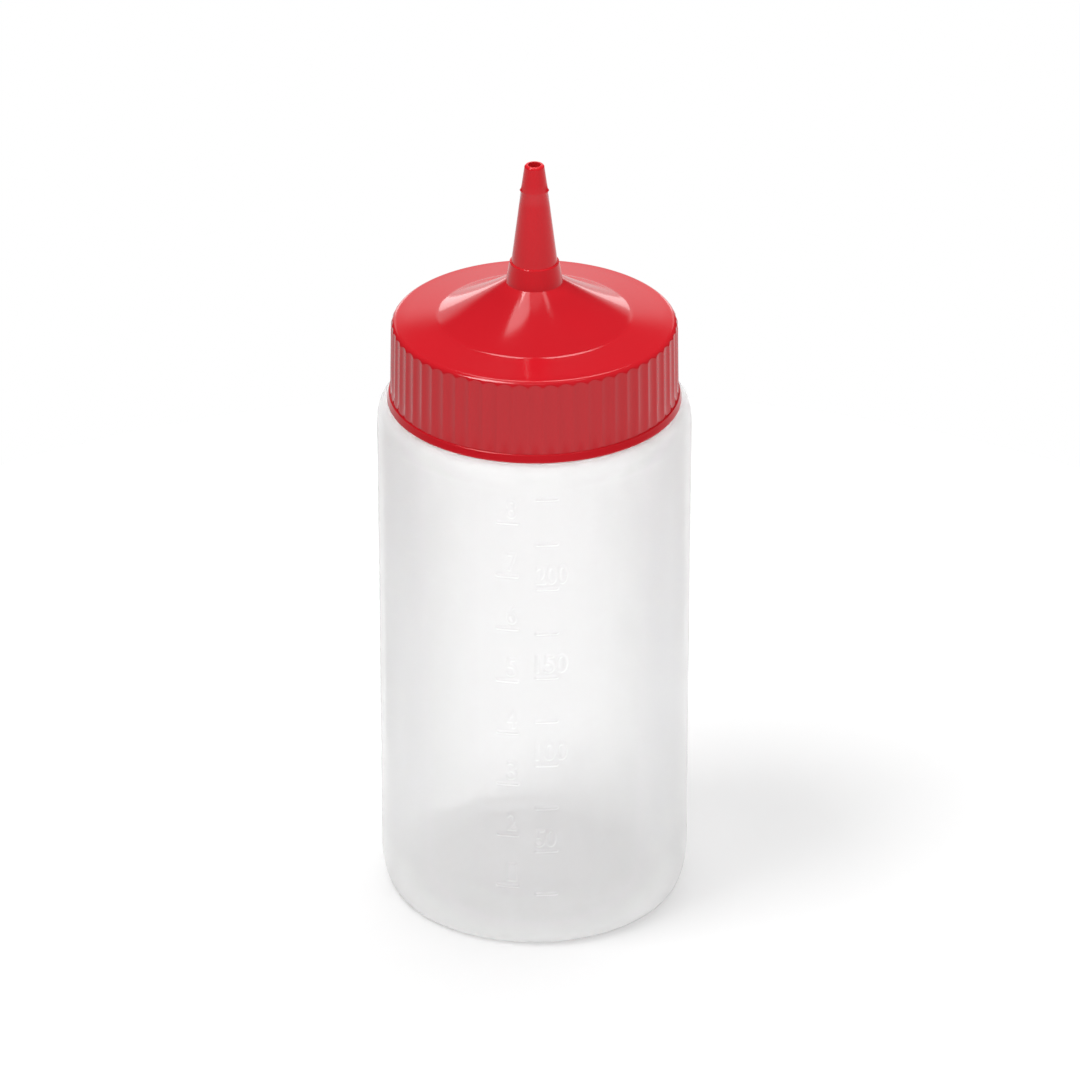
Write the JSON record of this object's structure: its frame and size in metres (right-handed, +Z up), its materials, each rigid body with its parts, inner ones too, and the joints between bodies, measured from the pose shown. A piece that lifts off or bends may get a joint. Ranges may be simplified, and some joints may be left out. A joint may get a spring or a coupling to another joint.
{
  "type": "wide-mouth squeeze bottle",
  "caption": "Wide-mouth squeeze bottle: a straight, milky white plastic body with a faint raised volume scale, and a red screw cap with finger flutes, a low cone and a tapered nozzle.",
  "frame": {"origin": "centre of the ring that the bottle stands on", "axes": "+Z up along the bottle's axis to the nozzle's tip; the volume scale faces -Y"},
  "size_m": [0.06, 0.0602, 0.153],
  "materials": {
    "bottle_plastic": "milky translucent polyethylene, blow moulded, soft satin sheen",
    "cap_plastic": "opaque red polyethylene, injection moulded, glossy with a fine moulded grain"
  },
  "bodies": {
    "root": {"bottle": "bottle_plastic", "cap": "cap_plastic"}
  },
  "joints": []
}
